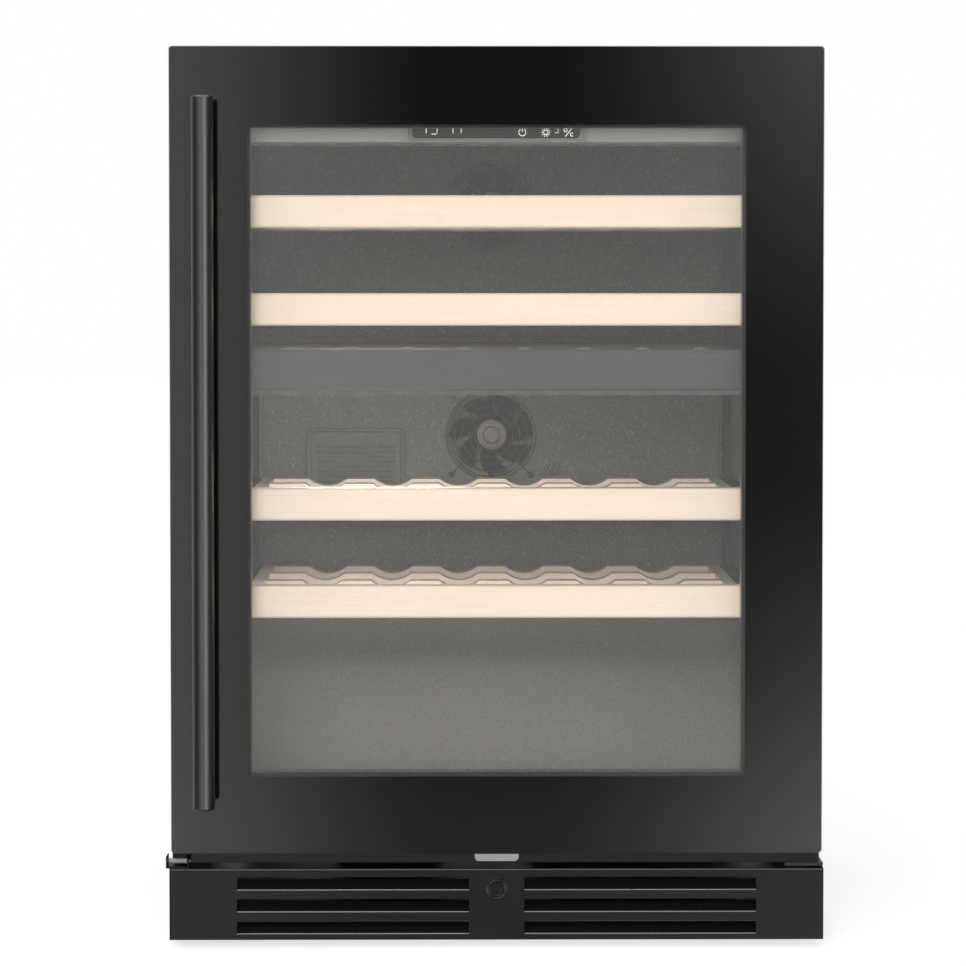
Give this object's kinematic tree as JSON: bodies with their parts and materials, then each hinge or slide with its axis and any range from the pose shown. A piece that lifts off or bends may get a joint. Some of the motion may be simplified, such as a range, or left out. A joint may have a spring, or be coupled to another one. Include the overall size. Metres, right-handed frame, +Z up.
{
  "type": "wine cooler",
  "caption": "Under-counter wine cooler with a framed black glass door, bar handle, beech shelves in two temperature zones, louvred kick plate and a compressor bay.",
  "frame": {"origin": "on the floor, midway across the width and midway between the front of the handle and the back of the cabinet", "axes": "+Z up, -Y out of the door's front, +X to the right seen from the front"},
  "size_m": [0.598, 0.617, 0.82],
  "materials": {
    "clear_glass": "gloss",
    "black_print": "gloss",
    "black_frame": "satin",
    "spacer_grey": "satin",
    "seal_rubber": "matte",
    "black_coat": "satin",
    "steel": "satin",
    "bush_nylon": "satin",
    "lock_black": "satin",
    "galvanised": "satin",
    "foam": "matte",
    "liner_grey": "satin",
    "beech": "satin",
    "fascia_steel": "satin",
    "display_black": "gloss",
    "light_diffuser": "matte",
    "fan_plastic": "satin",
    "guard_wire": "polished",
    "fin_aluminium": "satin",
    "copper": "satin",
    "compressor_black": "satin",
    "black_plastic": "satin"
  },
  "bodies": {
    "cabinet": {"compressor_grommets": "seal_rubber", "cabinet_wrap": "black_coat", "kick_plate": "black_coat", "hinge_top_bracket": "black_coat", "hinge_bottom_bracket": "black_coat", "roller_bracket": "black_coat", "hinge_pins": "steel", "hinge_screws": "steel", "lock_housing": "lock_black", "rear_panel": "galvanised", "base_pan": "galvanised", "machine_cover": "galvanised", "insulation_foam": "foam", "inner_liner": "liner_grey", "upper_duct_panel": "liner_grey", "lower_duct_panel": "liner_grey", "filter_cover": "liner_grey", "zone_divider": "liner_grey", "shelf_tracks": "liner_grey", "control_fascia": "fascia_steel", "control_display": "display_black", "led_bars": "light_diffuser", "evaporator_fan_housings": "fan_plastic", "condenser_fan_housing": "fan_plastic", "evaporator_fan_guards": "guard_wire", "evaporator_coils": "fin_aluminium", "condenser_coil": "fin_aluminium", "refrigerant_pipes": "copper", "compressor": "compressor_black", "compressor_relay_cover": "black_plastic", "drip_tray": "black_plastic", "power_inlet": "black_plastic"},
    "door": {"door_frame": "black_frame", "front_glass": "clear_glass", "enamel_border": "black_print", "inner_glass": "clear_glass", "glass_spacer": "spacer_grey", "door_gasket": "seal_rubber", "handle_bar": "black_coat", "handle_posts": "black_coat", "striker_plate": "steel", "hinge_bushes": "bush_nylon"},
    "shelf_1": {"shelf_1_front": "beech", "shelf_1_deck": "beech"},
    "shelf_2": {"shelf_2_front": "beech", "shelf_2_deck": "beech"},
    "shelf_3": {"shelf_3_front": "beech", "shelf_3_deck": "beech"},
    "shelf_4": {"shelf_4_front": "beech", "shelf_4_deck": "beech"},
    "lock": {"lock_plug": "lock_black", "lock_cam": "steel"},
    "upper_fan": {"upper_fan_rotor": "fan_plastic"},
    "lower_fan": {"lower_fan_rotor": "fan_plastic"},
    "condenser_fan": {"condenser_fan_rotor": "fan_plastic"},
    "roller": {"support_roller": "steel"},
    "foot_front_left": {"foot_front_left": "black_plastic"},
    "foot_front_right": {"foot_front_right": "black_plastic"},
    "foot_rear_left": {"foot_rear_left": "black_plastic"},
    "foot_rear_right": {"foot_rear_right": "black_plastic"}
  },
  "joints": [
    {"name": "door_hinge", "type": "hinge", "parent": "cabinet", "child": "door", "pos_m": [0.287, -0.25, 0.45], "axis": [0, 0, 1], "range_deg": [0, 110]},
    {"name": "shelf_1_slide", "type": "slide", "parent": "cabinet", "child": "shelf_1", "axis": [0, -1, 0], "range_m": [0, 0.018]},
    {"name": "shelf_2_slide", "type": "slide", "parent": "cabinet", "child": "shelf_2", "axis": [0, -1, 0], "range_m": [0, 0.018]},
    {"name": "shelf_3_slide", "type": "slide", "parent": "cabinet", "child": "shelf_3", "axis": [0, -1, 0], "range_m": [0, 0.018]},
    {"name": "shelf_4_slide", "type": "slide", "parent": "cabinet", "child": "shelf_4", "axis": [0, -1, 0], "range_m": [0, 0.018]},
    {"name": "lock_turn", "type": "hinge", "parent": "cabinet", "child": "lock", "pos_m": [0, -0.255, 0.055], "axis": [0, 1, 0], "range_deg": [0, 90]},
    {"name": "upper_fan_spin", "type": "hinge", "parent": "cabinet", "child": "upper_fan", "pos_m": [0, 0.248, 0.684], "axis": [0, 1, 0], "continuous": true},
    {"name": "lower_fan_spin", "type": "hinge", "parent": "cabinet", "child": "lower_fan", "pos_m": [0, 0.248, 0.4472], "axis": [0, 1, 0], "continuous": true},
    {"name": "condenser_fan_spin", "type": "hinge", "parent": "cabinet", "child": "condenser_fan", "pos_m": [0.1, 0.167, 0.076], "axis": [0, 1, 0], "continuous": true},
    {"name": "roller_spin", "type": "hinge", "parent": "cabinet", "child": "roller", "pos_m": [-0.2903, -0.25, 0.0787], "axis": [1, 0, 0], "continuous": true},
    {"name": "foot_front_left_screw", "type": "slide", "parent": "cabinet", "child": "foot_front_left", "axis": [0, 0, -1], "range_m": [0, 0.02]},
    {"name": "foot_front_right_screw", "type": "slide", "parent": "cabinet", "child": "foot_front_right", "axis": [0, 0, -1], "range_m": [0, 0.02]},
    {"name": "foot_rear_left_screw", "type": "slide", "parent": "cabinet", "child": "foot_rear_left", "axis": [0, 0, -1], "range_m": [0, 0.02]},
    {"name": "foot_rear_right_screw", "type": "slide", "parent": "cabinet", "child": "foot_rear_right", "axis": [0, 0, -1], "range_m": [0, 0.02]}
  ]
}
